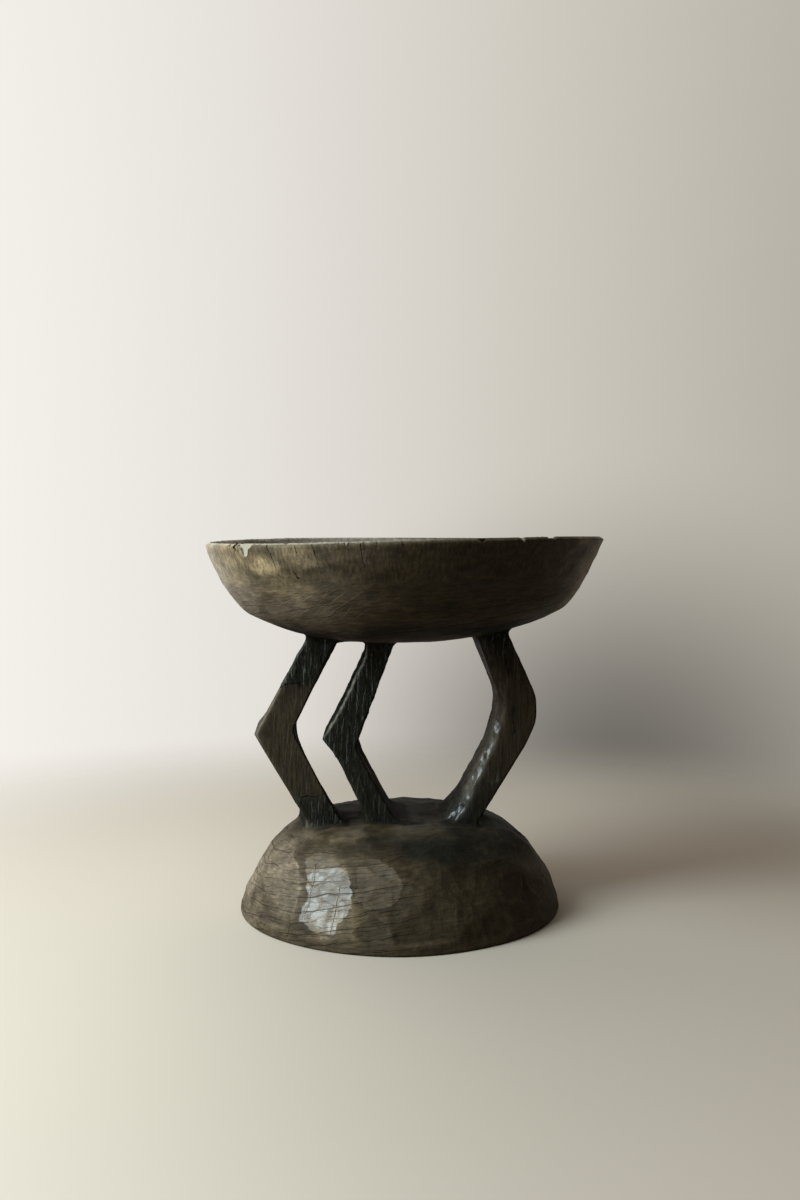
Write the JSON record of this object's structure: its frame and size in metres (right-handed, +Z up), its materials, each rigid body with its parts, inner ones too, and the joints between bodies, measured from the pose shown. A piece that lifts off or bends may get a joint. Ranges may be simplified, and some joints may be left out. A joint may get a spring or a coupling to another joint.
{
  "type": "carved wooden stool",
  "caption": "Stool carved from a single block of wood: a shallow bowl seat on a row of bent plank legs over a low domed base.",
  "frame": {"origin": "on the floor, under the middle of the seat's rim", "axes": "+Z up, the legs stand in a row along X, and -Y is the front"},
  "size_m": [0.3849, 0.3832, 0.3618],
  "materials": {
    "wood": "satin, dark brown and handled, with adze and gouge marks"
  },
  "bodies": {
    "root": {"stool": "wood"}
  },
  "joints": []
}
